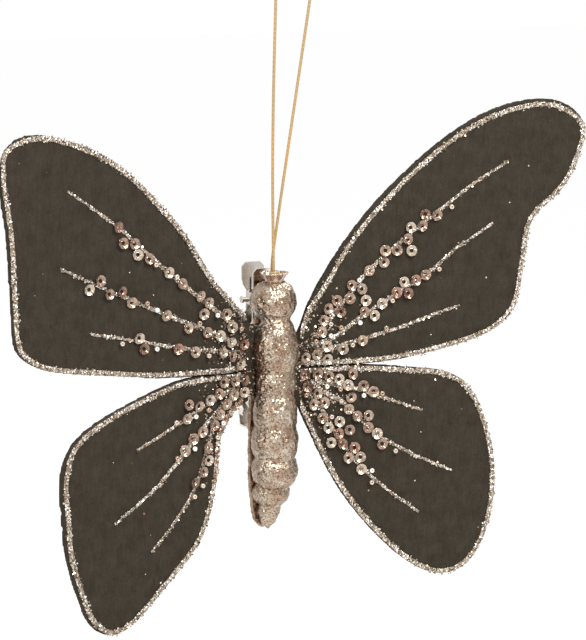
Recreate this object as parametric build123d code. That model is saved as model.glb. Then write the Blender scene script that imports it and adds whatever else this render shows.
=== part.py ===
import os
from math import cos, pi, radians, sin, tan

from build123d import *

os.makedirs("parts", exist_ok=True)

# A velvet butterfly ornament that hangs by a thread loop or clips to a twig.
# Lengths are in millimetres. Z is up, the decorated face looks along -Y and +X is to its right.
# The origin is the middle of the crown's mouth, where the thread comes out.

# Shared values
overrun = 5.0  # how far a cutting solid runs past what it cuts
glue_line = 0.05  # air between a glued piece and its pocket

# Body: head, thorax and belly segments, hollow, on a flat back plate
head_radius = 7.1
head_drop = 9.2  # from the crown's mouth down to the middle of the head
body_length = 72.4  # from the middle of the head to the tip of the tail
body_radius = 7.4  # the widest belly segment
shell_wall = 0.9
seam_y = 3.4  # the plane where the shell meets the back plate
back_plate_thickness = 1.6
back_plate_half_width = 6.5
back_head_radius = 6.0  # the plate's round part behind the head
shell_front = 1.5  # how far the thorax and belly stand forward of the head's axis

# The body's profile below the head: level share down from the head's middle and radius share,
# one row for each groove with the swell between it and the next, then the same for the tail
body_profile_shares = [
    (0.06, 0.49),
    (0.205, 0.955),
    (0.305, 0.8),
    (0.355, 0.85),
    (0.405, 0.765),
    (0.48, 0.935),
    (0.54, 0.865),
    (0.608, 1.0),
    (0.68, 0.845),
    (0.738, 0.985),
    (0.805, 0.66),
]
tail_profile_shares = [
    (0.79, 0.59),
    (0.844, 0.79),
    (0.888, 0.47),
    (0.955, 0.345),
    (1.0, 0.0),
]
tail_back = 0.6  # the solid tail's axis lies this far behind the head's axis
# The back plate's right edge: half width share and level share, from the neck to the tail
plate_edge_shares = [
    (0.74, 0.055),
    (0.72, 0.1),
    (0.86, 0.19),
    (0.91, 0.3),
    (0.94, 0.4),
    (0.99, 0.5),
    (1.0, 0.62),
    (0.98, 0.74),
    (0.89, 0.84),
    (0.72, 0.91),
    (0.48, 0.965),
]

# Crown: a metal collar in the head's opening
crown_tube_radius = 3.2
crown_rim_radius = 4.2
crown_wall = 0.45
crown_depth = 4.6  # from the mouth to the bottom of the tube
crown_floor = 1.7  # from the mouth down to the floor that the knot lies on
crown_floor_thickness = 0.6
crown_waist = 2.6  # below the mouth, where the flare starts
crown_notch_depth = 0.7
crown_notch_shares = [1.0, 0.5, 0.8, 0.4, 1.0, 0.6, 0.5]  # how deep each notch is, in turn

# Thread: one loop that leaves the knot as two strands, held taut over a peg out of sight
thread_diameter = 0.9
thread_bend_share = 0.45  # of the shorter run beside it that each bend takes
knot_radius = 1.7
knot_top = 0.1  # the knot's flat top above the crown's mouth
thread_route = [
    (0.1, -0.55, 0.1),
    (0.1, -0.55, 2.0),
    (-0.3, -0.5, 90.8),
    (3.7, -0.2, 95.1),
    (9.3, 0.2, 94.8),
    (12.7, 0.5, 90.2),
    (-0.1, 0.55, 2.0),
    (-0.1, 0.55, 0.1),
]

# Wings: velvet over card, with a wire in the edge
hinge_x = 7.4  # where the soft wire roots bend, beside the thorax
hinge_y = 1.2
wing_sweep = 8.0  # degrees that every wing is bent forward at rest
root_gap = 0.4  # from the bending line to the wing's root edge
join_level = -30.8  # the level where the upper and lower wings meet
join_gap = 0.4
wing_thickness = 1.8
velvet_thickness = 0.5
hem_width = 0.8  # velvet round the edge, outside the card's pocket
wire_width = 0.8
wire_core_gap = 0.1  # between the edge wire and the card
wire_tail_start = 0.15  # from the bending line to the end of a wing's wire

# Trim on the wings
border_wide = 2.0  # bare velvet outside the glitter line on a top edge
border_narrow = 0.9
piping_width = 1.9
piping_height = 0.5
vein_root_width = 1.7
vein_tip_width = 0.9
vein_height = 0.45
sequin_radius = 1.78
sequin_foot_radius = 0.95
sequin_hole_radius = 0.5
sequin_height = 0.7
sequin_wall = 0.25
sequin_seat = 0.75  # the cup's foot above the velvet, on its drop of glue
sequin_tilt = 7.0  # degrees
facets = 6  # round each sequin and bead
bead_radius = 0.85
bead_end_radius = 0.5
bead_half_height = 0.7
bead_seat = 0.52
turn_step = 47.0  # degrees between one sequin's lean and the next one's

# Root wires, glued into the thorax
root_wire_radius = 0.4
root_wire_inner = 0.6  # from the middle plane to a wire's hidden end
root_wire_outer = 7.2
root_wire_inset = 2.2  # from a wing's corner to its wire

# Clip on the back
clip_pivot_y = 11.8
clip_pivot_z = -10.1
clip_tilt = 3.5  # degrees that the jaws lean away from the body
clip_sheet = 0.6
clip_jaw_length = 40.4
clip_lever_length = 11.2
clip_base_depth = 4.6  # from the pin's axis to the base's glued face
clip_base_half_width = 3.5
clip_jaw_half_width = 4.3
clip_jaw_rise = 3.0  # from the pin's axis to the moving jaw's outer face
clip_neck_half_width = 2.2  # the moving jaw where it passes the pin
clip_neck_top = 2.3
clip_shoulder = 6.2  # from the pin's axis down to where the jaws are at full width
clip_lever_half_width = 3.85
clip_lever_bevel = 1.35
clip_lever_waist = 5.7  # from the pin's axis up to where the lever starts to narrow
clip_lever_hip = 3.4  # its half width halfway down to the neck
clip_lever_rise = 0.9
clip_ear_radius = 1.9
clip_rail_height = 2.1
clip_rail_end_share = 0.84  # of the jaws' length
clip_bend_share = 0.75  # where the moving jaw turns in towards its tip
clip_teeth_end_share = 0.97
clip_tip_share = 0.7  # the base's width at its tip
clip_tooth = 1.0
clip_tooth_pitch = 3.2
clip_play = 0.4  # between the closed jaws
pin_radius = 0.8
pin_clearance = 0.05
pin_half_length = 4.9  # to the inside of its heads
pin_head_radius = 1.1
pin_head_thickness = 0.5
spring_strip = 0.3
spring_leg = 6.4
glue_pad_half_width = 3.0
glue_pad_top = -5.5  # along the clip, from the pin's axis
glue_pad_bottom = -27.0

# Each wing: its side, whether it goes up or down, its reach from the root edge and its height
# from the join, with outline, veins, sequins and beads as shares of that reach and height
wings = {
    "upper_left": {
        "side": "left",
        "up": 1,
        "reach": 89.1,
        "height": 77.0,
        "wide_border": range(3, 10),
        "outline_shares": [
            (0, 0.205), (0.06, 0.255), (0.09, 0.29), (0.15, 0.38), (0.25, 0.545), (0.385, 0.715),
            (0.565, 0.885), (0.745, 0.975), (0.855, 1.0), (0.935, 0.985), (0.98, 0.94),
            (1.0, 0.87), (0.98, 0.68), (0.965, 0.485), (0.955, 0.285), (0.935, 0.17),
            (0.87, 0.105), (0.77, 0.07), (0.62, 0.045), (0.425, 0.015), (0.155, 0), (0, 0),
        ],
        "vein_shares": [
            [(0.745, 0.78), (0.54, 0.62), (0.34, 0.425), (0.195, 0.3), (0.055, 0.18)],
            [(0.775, 0.48), (0.58, 0.375), (0.35, 0.26), (0.18, 0.18), (0.055, 0.115)],
            [(0.66, 0.215), (0.46, 0.165), (0.295, 0.12), (0.15, 0.095), (0.055, 0.075)],
        ],
        "sequin_shares": [
            (0.55, 0.625), (0.53, 0.56), (0.485, 0.555), (0.47, 0.51), (0.425, 0.49),
            (0.345, 0.43), (0.29, 0.38), (0.215, 0.325), (0.18, 0.295), (0.2, 0.25),
            (0.105, 0.24), (0.08, 0.185), (0.62, 0.42), (0.665, 0.39), (0.585, 0.365),
            (0.535, 0.37), (0.495, 0.325), (0.355, 0.26), (0.265, 0.2), (0.185, 0.175),
            (0.13, 0.155), (0.085, 0.125), (0.08, 0.065), (0.03, 0.11), (0.465, 0.18),
            (0.445, 0.135), (0.305, 0.12), (0.235, 0.1), (0.12, 0.085), (0.045, 0.03),
        ],
        "bead_shares": [
            (0.045, 0.175), (0.145, 0.24), (0.18, 0.08), (0.22, 0.215), (0.315, 0.41),
            (0.395, 0.13), (0.395, 0.285), (0.4, 0.465), (0.435, 0.315), (0.535, 0.165),
        ],
    },
    "upper_right": {
        "side": "right",
        "up": 1,
        "reach": 98.1,
        "height": 82.0,
        "wide_border": range(3, 12),
        "outline_shares": [
            (0, 0.11), (0.02, 0.15), (0.04, 0.215), (0.07, 0.29), (0.15, 0.44), (0.25, 0.59),
            (0.38, 0.74), (0.54, 0.885), (0.675, 0.965), (0.8, 1.0), (0.88, 1.0),
            (0.955, 0.965), (1.0, 0.89), (0.99, 0.805), (0.955, 0.7), (0.885, 0.605),
            (0.82, 0.53), (0.8, 0.42), (0.785, 0.295), (0.765, 0.195), (0.695, 0.11),
            (0.58, 0.06), (0.425, 0.02), (0.245, 0), (0.1, 0), (0, 0),
        ],
        "vein_shares": [
            [(0.73, 0.765), (0.6, 0.675), (0.495, 0.585), (0.395, 0.5), (0.25, 0.36),
             (0.155, 0.23), (0.07, 0.11)],
            [(0.68, 0.525), (0.55, 0.43), (0.47, 0.35), (0.375, 0.285), (0.245, 0.195),
             (0.14, 0.11), (0.06, 0.075)],
            [(0.57, 0.21), (0.47, 0.175), (0.365, 0.135), (0.25, 0.1), (0.145, 0.07),
             (0.07, 0.055)],
        ],
        "sequin_shares": [
            (0.44, 0.57), (0.48, 0.565), (0.43, 0.525), (0.39, 0.52), (0.38, 0.475),
            (0.395, 0.43), (0.345, 0.435), (0.305, 0.435), (0.3, 0.39), (0.25, 0.36),
            (0.19, 0.305), (0.225, 0.29), (0.185, 0.255), (0.24, 0.245), (0.14, 0.25),
            (0.155, 0.205), (0.11, 0.22), (0.095, 0.175), (0.09, 0.13), (0.235, 0.2),
            (0.27, 0.185), (0.295, 0.23), (0.445, 0.335), (0.41, 0.315), (0.37, 0.31),
            (0.385, 0.265), (0.345, 0.27), (0.23, 0.09), (0.165, 0.06), (0.11, 0.075),
            (0.075, 0.045), (0.035, 0.035), (0.11, 0.025),
        ],
        "bead_shares": [
            (0.07, 0.095), (0.12, 0.115), (0.12, 0.16), (0.155, 0.145), (0.195, 0.075),
            (0.215, 0.325), (0.22, 0.16), (0.27, 0.11), (0.31, 0.135), (0.33, 0.24),
            (0.49, 0.355), (0.53, 0.595),
        ],
    },
    "lower_left": {
        "side": "left",
        "up": -1,
        "reach": 68.1,
        "height": 77.0,
        "wide_border": (),
        "outline_shares": [
            (0, 0), (0.2, 0), (0.39, 0.01), (0.52, 0.04), (0.685, 0.09), (0.86, 0.16),
            (0.955, 0.23), (1.0, 0.335), (0.995, 0.49), (0.97, 0.675), (0.91, 0.835),
            (0.84, 0.955), (0.745, 1.0), (0.65, 0.98), (0.505, 0.88), (0.375, 0.775),
            (0.255, 0.655), (0.205, 0.545), (0.17, 0.375), (0.15, 0.245), (0.09, 0.165),
            (0, 0.12),
        ],
        "vein_shares": [
            [(0.615, 0.265), (0.49, 0.22), (0.34, 0.16), (0.185, 0.09), (0.075, 0.06)],
            [(0.73, 0.55), (0.615, 0.49), (0.49, 0.415), (0.35, 0.295), (0.235, 0.19),
             (0.08, 0.08)],
            [(0.535, 0.685), (0.435, 0.605), (0.325, 0.49), (0.265, 0.385), (0.23, 0.285),
             (0.19, 0.185), (0.1, 0.1)],
        ],
        "sequin_shares": [
            (0.035, 0.03), (0.09, 0.03), (0.15, 0.03), (0.035, 0.08), (0.175, 0.075),
            (0.225, 0.095), (0.34, 0.105), (0.285, 0.115), (0.35, 0.16), (0.265, 0.22),
            (0.315, 0.245), (0.36, 0.29), (0.235, 0.29), (0.23, 0.34), (0.26, 0.385),
            (0.305, 0.425), (0.095, 0.085), (0.135, 0.12), (0.17, 0.16), (0.2, 0.2),
        ],
        "bead_shares": [
            (0.115, 0.155), (0.155, 0.195), (0.185, 0.25), (0.235, 0.135), (0.265, 0.44),
            (0.305, 0.155), (0.31, 0.285), (0.31, 0.48), (0.405, 0.315), (0.41, 0.17),
        ],
    },
    "lower_right": {
        "side": "right",
        "up": -1,
        "reach": 69.1,
        "height": 69.5,
        "wide_border": (),
        "outline_shares": [
            (0, 0), (0.17, 0), (0.37, 0.005), (0.575, 0.025), (0.72, 0.045), (0.825, 0.09),
            (0.905, 0.185), (0.96, 0.315), (0.995, 0.47), (1.0, 0.63), (0.965, 0.805),
            (0.905, 0.92), (0.825, 0.985), (0.74, 1.0), (0.6, 0.95), (0.44, 0.82),
            (0.265, 0.62), (0.155, 0.445), (0.075, 0.285), (0, 0.135),
        ],
        "vein_shares": [
            [(0.63, 0.225), (0.475, 0.17), (0.34, 0.12), (0.195, 0.08), (0.08, 0.065)],
            [(0.78, 0.515), (0.6, 0.435), (0.44, 0.35), (0.33, 0.255), (0.235, 0.165),
             (0.09, 0.085)],
            [(0.62, 0.7), (0.48, 0.6), (0.34, 0.485), (0.225, 0.34), (0.135, 0.195),
             (0.075, 0.11)],
        ],
        "sequin_shares": [
            (0.05, 0.03), (0.11, 0.03), (0.165, 0.045), (0.215, 0.06), (0.28, 0.04),
            (0.26, 0.09), (0.335, 0.095), (0.385, 0.125), (0.275, 0.145), (0.265, 0.2),
            (0.305, 0.235), (0.36, 0.235), (0.36, 0.29), (0.405, 0.32), (0.43, 0.37),
            (0.065, 0.085), (0.11, 0.12), (0.09, 0.17), (0.145, 0.165), (0.135, 0.235),
            (0.165, 0.28), (0.22, 0.255), (0.27, 0.295), (0.215, 0.31), (0.18, 0.35),
            (0.235, 0.36), (0.295, 0.38), (0.265, 0.425), (0.325, 0.425), (0.33, 0.48),
        ],
        "bead_shares": [
            (0.055, 0.125), (0.155, 0.09), (0.18, 0.23), (0.22, 0.105), (0.225, 0.16),
            (0.335, 0.14), (0.38, 0.49), (0.38, 0.545), (0.425, 0.135), (0.495, 0.405),
        ],
    },
}


def write(shape, node):
    export_step(shape, f"parts/{node}.step")


def along_x(face, start, length):
    """A YZ outline drawn as (y, z) on the XY plane, stood up and drawn out along X from start."""
    return extrude(Plane(origin=(start, 0, 0), x_dir=(0, 1, 0), z_dir=(1, 0, 0)) * face, length)


def outline_face(points):
    return make_face(Polyline(points, close=True).edges())


# Body


def lobes(shares, shrink):
    """Swells between grooves, turned about one upright axis and made smaller by shrink."""
    last = len(shares) - 1
    points = []
    for k, (level_share, radius_share) in enumerate(shares):
        ends = (k == last) - (k == 0)
        level = -head_drop - level_share * body_length + ends * shrink
        points.append((max(radius_share * body_radius - shrink, 0), level))
    arcs = [ThreePointArc(*points[k : k + 3]) for k in range(0, last - 1, 2)]
    top, bottom = points[0], points[-1]
    rim = [Line((0, top[1]), top), Line((0, bottom[1]), (0, top[1]))]
    if bottom[0] > 0:
        rim.append(Line(bottom, (0, bottom[1])))
    return revolve(Plane.XZ * make_face(arcs + rim), Axis.Z)


def body_form(shrink):
    head = Pos(0, 0, -head_drop) * Sphere(head_radius - shrink)
    return head + Pos(0, -shell_front, 0) * lobes(body_profile_shares, shrink)


def root_wire_levels(wing):
    """The two levels where a wing's wire goes into the thorax."""
    shares = wing["outline_shares"]
    ends = [wing_level(wing, shares[0][1]), wing_level(wing, shares[-1][1])]
    return [max(ends) - root_wire_inset, min(ends) + root_wire_inset]


def wing_level(wing, share):
    return join_level + wing["up"] * (join_gap / 2 + share * wing["height"])


def root_wire(wing, level, radius, inner, outer):
    side = -1 if wing["side"] == "left" else 1
    wire_y = hinge_y + wing_thickness / 2
    middle = side * (inner + outer) / 2
    return Pos(middle, wire_y, level) * Rot(0, 90, 0) * Cylinder(radius, outer - inner)


def behind_seam(shape):
    """A shape with what lies behind the seam cut away."""
    size = 2 * body_length
    cutter = Pos(0, seam_y + size / 2, -head_drop - body_length / 2) * Box(size, size, size)
    return shape - cutter


def body_shell():
    shell = body_form(0) + Pos(0, tail_back, 0) * lobes(tail_profile_shares, 0)
    shell = shell - body_form(shell_wall)
    shell = behind_seam(shell)
    hole_height = head_drop + overrun
    shell = shell - Pos(0, 0, -head_drop + hole_height / 2) * Cylinder(crown_tube_radius, hole_height)
    for wing in wings.values():
        for level in root_wire_levels(wing):
            hole = root_wire(wing, level, root_wire_radius, shell_wall, root_wire_outer + overrun)
            shell = shell - hole
    return shell


def back_plate():
    """The flat back: a round part behind the head, straight sides and a narrow tail."""
    points = [(w * back_plate_half_width, -head_drop - l * body_length) for w, l in plate_edge_shares]
    points.append((0, -head_drop - body_length))
    left = [(-x, y) for x, y in points]
    crown_end = (0, back_head_radius - head_drop)
    face = make_face([Spline(points), Spline(left), ThreePointArc(left[0], crown_end, points[0])])
    on_seam = Plane(origin=(0, seam_y, 0), x_dir=(1, 0, 0), z_dir=(0, -1, 0))
    return extrude(on_seam * face, -back_plate_thickness)


# Crown and thread


def crown():
    inner_tube = crown_tube_radius - crown_wall
    floor_bottom = -crown_floor - crown_floor_thickness
    profile = [
        (0, -crown_floor),
        (0, floor_bottom),
        (inner_tube, floor_bottom),
        (inner_tube, -crown_depth),
        (crown_tube_radius, -crown_depth),
        (crown_tube_radius, -crown_waist),
        (crown_rim_radius, 0),
        (crown_rim_radius - crown_wall, 0),
        (crown_tube_radius - crown_wall / 2, -crown_floor),
    ]
    collar = revolve(Plane.XZ * outline_face(profile), Axis.Z)
    for k, depth_share in enumerate(crown_notch_shares):
        turn = Rot(0, 0, 360 / len(crown_notch_shares) * k)
        depth = crown_notch_depth * depth_share
        wedge = outline_face([(-depth, 0), (depth, 0), (0, -depth)])
        cut = extrude(Plane.XZ * wedge, -crown_rim_radius - overrun)
        collar = collar - turn * cut
    return collar


def thread_knot():
    """The knot on the crown's floor, flat where it lies and where the strands leave it."""
    height = knot_top + crown_floor
    middle = (knot_top - crown_floor) / 2
    width = 2 * knot_radius + overrun
    return Pos(0, 0, middle) * (Sphere(knot_radius) & Box(width, width, height))


def hanging_thread():
    points = [Vector(*p) for p in thread_route]
    runs = [b - a for a, b in zip(points, points[1:])]
    radii = []
    for before, after in zip(runs, runs[1:]):
        half_turn = radians(before.get_angle(after) / 2)
        shorter = min(before.length, after.length)
        radii.append(thread_bend_share * shorter / tan(half_turn))
    print("thread radii", [round(r, 1) for r in radii])
    path = FilletPolyline(*thread_route, radius=radii)
    section = Plane(origin=path @ 0, z_dir=path % 0) * Circle(thread_diameter / 2)
    tube = sweep(section, path=path)
    stated = pi * (thread_diameter / 2) ** 2 * path.length
    print("thread length", round(path.length, 1), "volume over section times length",
          round(tube.volume / stated, 4))
    return tube


# Wings


def wing_points(wing):
    """The outline's points from the shares, in the wing's own plane: out from the hinge, and up."""
    return [(root_gap + x * wing["reach"], wing_level(wing, y)) for x, y in wing["outline_shares"]]


def inset_points(points, distances):
    """Each point moved inward, square to the line between its neighbours."""
    moved = []
    for k, (x, y) in enumerate(points):
        before, after = points[k - 1], points[(k + 1) % len(points)]
        if k == 0:
            before = (x, y - 1)
        if k == len(points) - 1:
            after = (x, y + 1)
        inward = Vector(after[1] - before[1], before[0] - after[0]).normalized() * distances[k]
        moved.append((x + inward.X, y + inward.Y))
    first, last = distances[0], distances[-1]
    moved[0] = (points[0][0] + first, moved[0][1] if moved[0][1] < points[0][1] else points[0][1])
    moved[-1] = (points[-1][0] + last, max(moved[-1][1], points[-1][1]))
    return moved


def wing_face(points):
    edge = Spline(points)
    return make_face([edge, Line(edge @ 1, edge @ 0)])


def inset_face(wing, distance):
    points = wing_points(wing)
    return wing_face(inset_points(points, [distance] * len(points)))


def layer(face, front, thickness):
    """A flat layer of the wing whose front lies this far behind the velvet's face."""
    return extrude(Pos(0, 0, -front) * face, -thickness)


def wire_tails(wing, room):
    """The two ends of the edge wire that leave the hem for the thorax, grown by room."""
    end = root_gap + hem_width + glue_line + wire_width / 2
    width = wire_width + 2 * room
    tails = []
    for level in root_wire_levels(wing):
        face = Pos((wire_tail_start + end) / 2, level) * Rectangle(end - wire_tail_start, width)
        tails.append(layer(face, velvet_thickness, wing_thickness - 2 * velvet_thickness + room))
    return tails


def velvet_front(wing):
    whole = layer(wing_face(wing_points(wing)), 0, wing_thickness)
    pocket = layer(inset_face(wing, hem_width), velvet_thickness, wing_thickness + overrun)
    one, other = wire_tails(wing, glue_line)
    return whole - pocket - one - other


def velvet_back(wing):
    face = inset_face(wing, hem_width + glue_line)
    return layer(face, wing_thickness - velvet_thickness, velvet_thickness)


def edge_wire(wing):
    outer = hem_width + glue_line
    ring = inset_face(wing, outer) - inset_face(wing, outer + wire_width)
    one, other = wire_tails(wing, 0)
    return layer(ring, velvet_thickness, wing_thickness - 2 * velvet_thickness) + one + other


def core_card(wing):
    face = inset_face(wing, hem_width + glue_line + wire_width + wire_core_gap)
    return layer(face, velvet_thickness, wing_thickness - 2 * velvet_thickness)


def edge_piping(wing):
    """The glitter line just inside the edge, further in along an upper wing's top edge."""
    points = wing_points(wing)
    border = [
        border_wide if k in wing["wide_border"] else border_narrow for k in range(len(points))
    ]
    outer = wing_face(inset_points(points, border))
    inner = wing_face(inset_points(points, [b + piping_width for b in border]))
    return layer(outer - inner, 0, -piping_height)


def vein(wing, shares):
    """A glitter line that narrows from its root to its tip."""
    line = [(root_gap + x * wing["reach"], wing_level(wing, y)) for x, y in shares]
    one, other = [], []
    for k, (x, y) in enumerate(line):
        before, after = line[max(k - 1, 0)], line[min(k + 1, len(line) - 1)]
        part = k / (len(line) - 1)
        half = (vein_tip_width + (vein_root_width - vein_tip_width) * part) / 2
        across = Vector(after[1] - before[1], before[0] - after[0]).normalized() * half
        one.append((x + across.X, y + across.Y))
        other.append((x - across.X, y - across.Y))
    return layer(outline_face(one + other[::-1]), 0, -vein_height)


def veins(wing):
    shapes = [vein(wing, shares) for shares in wing["vein_shares"]]
    return shapes[0] + shapes[1] + shapes[2]


def faceted(rings):
    """A closed form with flat facets through a ring of corners at each (radius, height)."""
    return loft([Pos(0, 0, z) * RegularPolygon(radius, facets) for radius, z in rings], ruled=True)


def sequin():
    """A faceted cup with a hole: its rim is up and its foot is at zero."""
    cup = faceted([(sequin_foot_radius, 0), (sequin_radius, sequin_height)])
    well = faceted([(sequin_hole_radius, 0), (sequin_radius - sequin_wall, sequin_height)])
    return cup - well


def sequins(wing):
    cup = sequin()
    placed = []
    for k, (x, y) in enumerate(wing["sequin_shares"]):
        lean = radians(turn_step * k)
        turn = Rot(sequin_tilt * cos(lean), sequin_tilt * sin(lean), turn_step * k)
        spot = Pos(root_gap + x * wing["reach"], wing_level(wing, y), sequin_seat)
        placed.append(spot * turn * cup)
    return placed


def bead():
    """A small faceted bead on its foot."""
    middle = (bead_radius, bead_half_height)
    return faceted([(bead_end_radius, 0), middle, (bead_end_radius, 2 * bead_half_height)])


def beads(wing):
    one = bead()
    return [
        Pos(root_gap + x * wing["reach"], wing_level(wing, y), bead_seat)
        * Rot(0, 0, turn_step * k)
        * one
        for k, (x, y) in enumerate(wing["bead_shares"])
    ]


def on_body(wing, shape):
    """A wing's piece, moved from the wing's own plane to its side of the body."""
    turn = radians(wing_sweep)
    plane = Plane(
        origin=(hinge_x, hinge_y, 0),
        x_dir=(cos(turn), -sin(turn), 0),
        z_dir=(-sin(turn), -cos(turn), 0),
    )
    moved = plane.location * shape
    return mirror(moved, about=Plane.YZ) if wing["side"] == "left" else moved


# Clip, drawn about its pin: x across, y away from the body, z towards the levers


def clip_frame(shape):
    return Pos(0, clip_pivot_y, clip_pivot_z) * Rot(clip_tilt, 0, 0) * shape


def plan(points, low, high):
    """A plate with a mirrored plan outline of (half width, z), between two y values."""
    face = outline_face(points + [(-x, z) for x, z in reversed(points)])
    return extrude(Plane(origin=(0, low, 0), x_dir=(1, 0, 0), z_dir=(0, -1, 0)) * face, low - high)


def both_sides(face, half_width):
    """The same upright wall of sheet on the left and on the right, inside this half width."""
    left = along_x(face, -half_width, clip_sheet)
    return left + along_x(face, half_width - clip_sheet, clip_sheet)


def base_ear_half_width():
    """The base's ears stand just inside the moving jaw's."""
    return clip_neck_half_width - clip_sheet - pin_clearance


def clip_base():
    inner = -clip_base_depth + clip_sheet
    lever_side = clip_lever_half_width + pin_clearance
    rail_end = -clip_jaw_length * clip_rail_end_share
    plate = plan(
        [
            (lever_side - clip_lever_bevel, clip_lever_length - clip_sheet),
            (lever_side, clip_lever_length - clip_sheet - clip_lever_bevel),
            (clip_base_half_width, clip_ear_radius),
            (clip_base_half_width, rail_end),
            (clip_base_half_width * clip_tip_share, -clip_jaw_length),
        ],
        -clip_base_depth,
        inner,
    )
    rail_top = inner + clip_rail_height
    rail = outline_face(
        [
            (inner, -clip_shoulder),
            (inner, rail_end),
            (rail_top, rail_end + clip_tooth),
            (rail_top, -clip_shoulder - clip_rail_height),
        ]
    )
    ear = outline_face(
        [
            (inner, clip_ear_radius + clip_sheet),
            (inner, -clip_ear_radius - clip_sheet),
            (0, -clip_ear_radius),
            (0, clip_ear_radius),
        ]
    )
    ear = ear + Circle(clip_ear_radius) - Circle(pin_radius)
    rails = both_sides(rail, clip_base_half_width)
    return clip_frame(plate + rails + both_sides(ear, base_ear_half_width()))


def clip_teeth(low, first, last):
    """The zigzag lower edge of the moving jaw's side wall."""
    points = []
    z = first
    while z - clip_tooth_pitch > last:
        points += [(low, z), (low + clip_tooth, z - clip_tooth_pitch / 2)]
        z -= clip_tooth_pitch
    return points + [(low, z)]


def clip_jaw():
    outer = clip_jaw_rise
    inner = clip_jaw_rise - clip_sheet
    tip = -clip_jaw_length - clip_sheet
    bend = tip * clip_bend_share
    teeth_end = tip * clip_teeth_end_share
    foot = -clip_base_depth + clip_sheet + clip_play
    lever_end = clip_lever_length
    strip = outline_face(
        [
            (foot, tip),
            (outer - clip_tooth, tip),
            (outer, bend),
            (outer, 0),
            (outer + clip_lever_rise, lever_end),
            (inner + clip_lever_rise, lever_end),
            (inner, 0),
            (inner, bend),
            (inner - clip_tooth, tip + clip_sheet),
            (foot, tip + clip_sheet),
        ]
    )
    sheet = along_x(strip, -clip_jaw_half_width, 2 * clip_jaw_half_width)
    lever_side = clip_lever_half_width
    trim = plan(
        [
            (lever_side - clip_lever_bevel, lever_end),
            (lever_side, lever_end - clip_lever_bevel),
            (lever_side, clip_lever_waist),
            (clip_lever_hip, (clip_lever_waist + clip_neck_top) / 2),
            (clip_neck_half_width, clip_neck_top),
            (clip_neck_half_width, clip_neck_half_width - clip_shoulder),
            (clip_jaw_half_width, -clip_shoulder),
            (clip_jaw_half_width, bend),
            (clip_jaw_half_width - clip_tooth, tip - clip_sheet),
        ],
        -clip_base_depth - overrun,
        outer + overrun,
    )
    edge = -clip_base_depth + clip_sheet + clip_rail_height + clip_play
    wall = outline_face(
        [(inner, -clip_shoulder)]
        + clip_teeth(edge, -clip_shoulder, teeth_end)
        + [(inner - clip_tooth, teeth_end), (inner, bend)]
    )
    ear = outline_face(
        [
            (inner, clip_neck_top),
            (0, clip_ear_radius),
            (0, -clip_ear_radius),
            (inner, -clip_ear_radius),
        ]
    )
    ear = ear + Circle(clip_ear_radius) - Circle(pin_radius + pin_clearance)
    walls = both_sides(wall, clip_jaw_half_width) & trim
    return clip_frame((sheet & trim) + walls + both_sides(ear, clip_neck_half_width))


def clip_pin():
    shaft = Rot(0, 90, 0) * Cylinder(pin_radius, 2 * pin_half_length)
    heads = [
        Pos(side * (pin_half_length + pin_head_thickness / 2), 0, 0)
        * Rot(0, 90, 0)
        * Cylinder(pin_head_radius, pin_head_thickness)
        for side in (-1, 1)
    ]
    return clip_frame(shaft + heads[0] + heads[1])


def clip_spring():
    """A strip bent round the pin that pushes the two levers apart."""
    low = -clip_base_depth + clip_sheet
    high = clip_jaw_rise - clip_sheet - pin_clearance
    bend = (high - low) / 2
    middle = (high + low) / 2
    start = -clip_ear_radius / 2
    outer = [
        Line((low, spring_leg), (low, start)),
        ThreePointArc((low, start), (middle, start - bend), (high, start)),
        Line((high, start), (high, spring_leg)),
    ]
    inner = [
        Line((low + spring_strip, spring_leg), (low + spring_strip, start)),
        ThreePointArc(
            (low + spring_strip, start),
            (middle, start - bend + spring_strip),
            (high - spring_strip, start),
        ),
        Line((high - spring_strip, start), (high - spring_strip, spring_leg)),
    ]
    ends = [
        Line((low, spring_leg), (low + spring_strip, spring_leg)),
        Line((high, spring_leg), (high - spring_strip, spring_leg)),
    ]
    strip = make_face(outer + inner + ends)
    half_width = base_ear_half_width() - clip_sheet - pin_clearance
    return clip_frame(along_x(strip, -half_width, 2 * half_width))


def glue_pad():
    """The wedge of glue between the flat back and the clip's base."""
    height = glue_pad_top - glue_pad_bottom
    depth = clip_base_depth + overrun
    block = Box(2 * glue_pad_half_width, depth, height)
    middle = (glue_pad_top + glue_pad_bottom) / 2
    block = clip_frame(Pos(0, -clip_base_depth - depth / 2, middle) * block)
    back = seam_y + back_plate_thickness
    size = body_length
    return block - Pos(0, back - size / 2, -size / 2) * Box(size, size, 2 * size)


write(body_shell(), "body_shell")
write(back_plate(), "back_plate")
write(crown(), "crown")
write(thread_knot(), "thread_knot")
write(hanging_thread(), "hanging_thread")
write(clip_base(), "clip_base")
write(clip_jaw(), "clip_jaw")
write(clip_pin(), "clip_pin")
write(clip_spring(), "clip_spring")
write(glue_pad(), "glue_pad")

root_wires = [
    root_wire(wing, level, root_wire_radius, root_wire_inner, root_wire_outer)
    for wing in wings.values()
    for level in root_wire_levels(wing)
]
write(Compound(children=root_wires), "root_wires")

for name, wing in wings.items():
    write(on_body(wing, velvet_front(wing)), f"{name}_velvet_front")
    write(on_body(wing, velvet_back(wing)), f"{name}_velvet_back")
    write(on_body(wing, edge_wire(wing)), f"{name}_edge_wire")
    write(on_body(wing, core_card(wing)), f"{name}_core_card")
    write(on_body(wing, edge_piping(wing)), f"{name}_edge_piping")
    write(on_body(wing, veins(wing)), f"{name}_veins")
    sequin_set = [on_body(wing, cup) for cup in sequins(wing)]
    write(Compound(children=sequin_set), f"{name}_sequins")
    bead_set = [on_body(wing, one) for one in beads(wing)]
    write(Compound(children=bead_set), f"{name}_beads")
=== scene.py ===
import math
import random

import bmesh
import bpy
import numpy as np
from mathutils import Matrix, Vector, kdtree, noise


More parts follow.
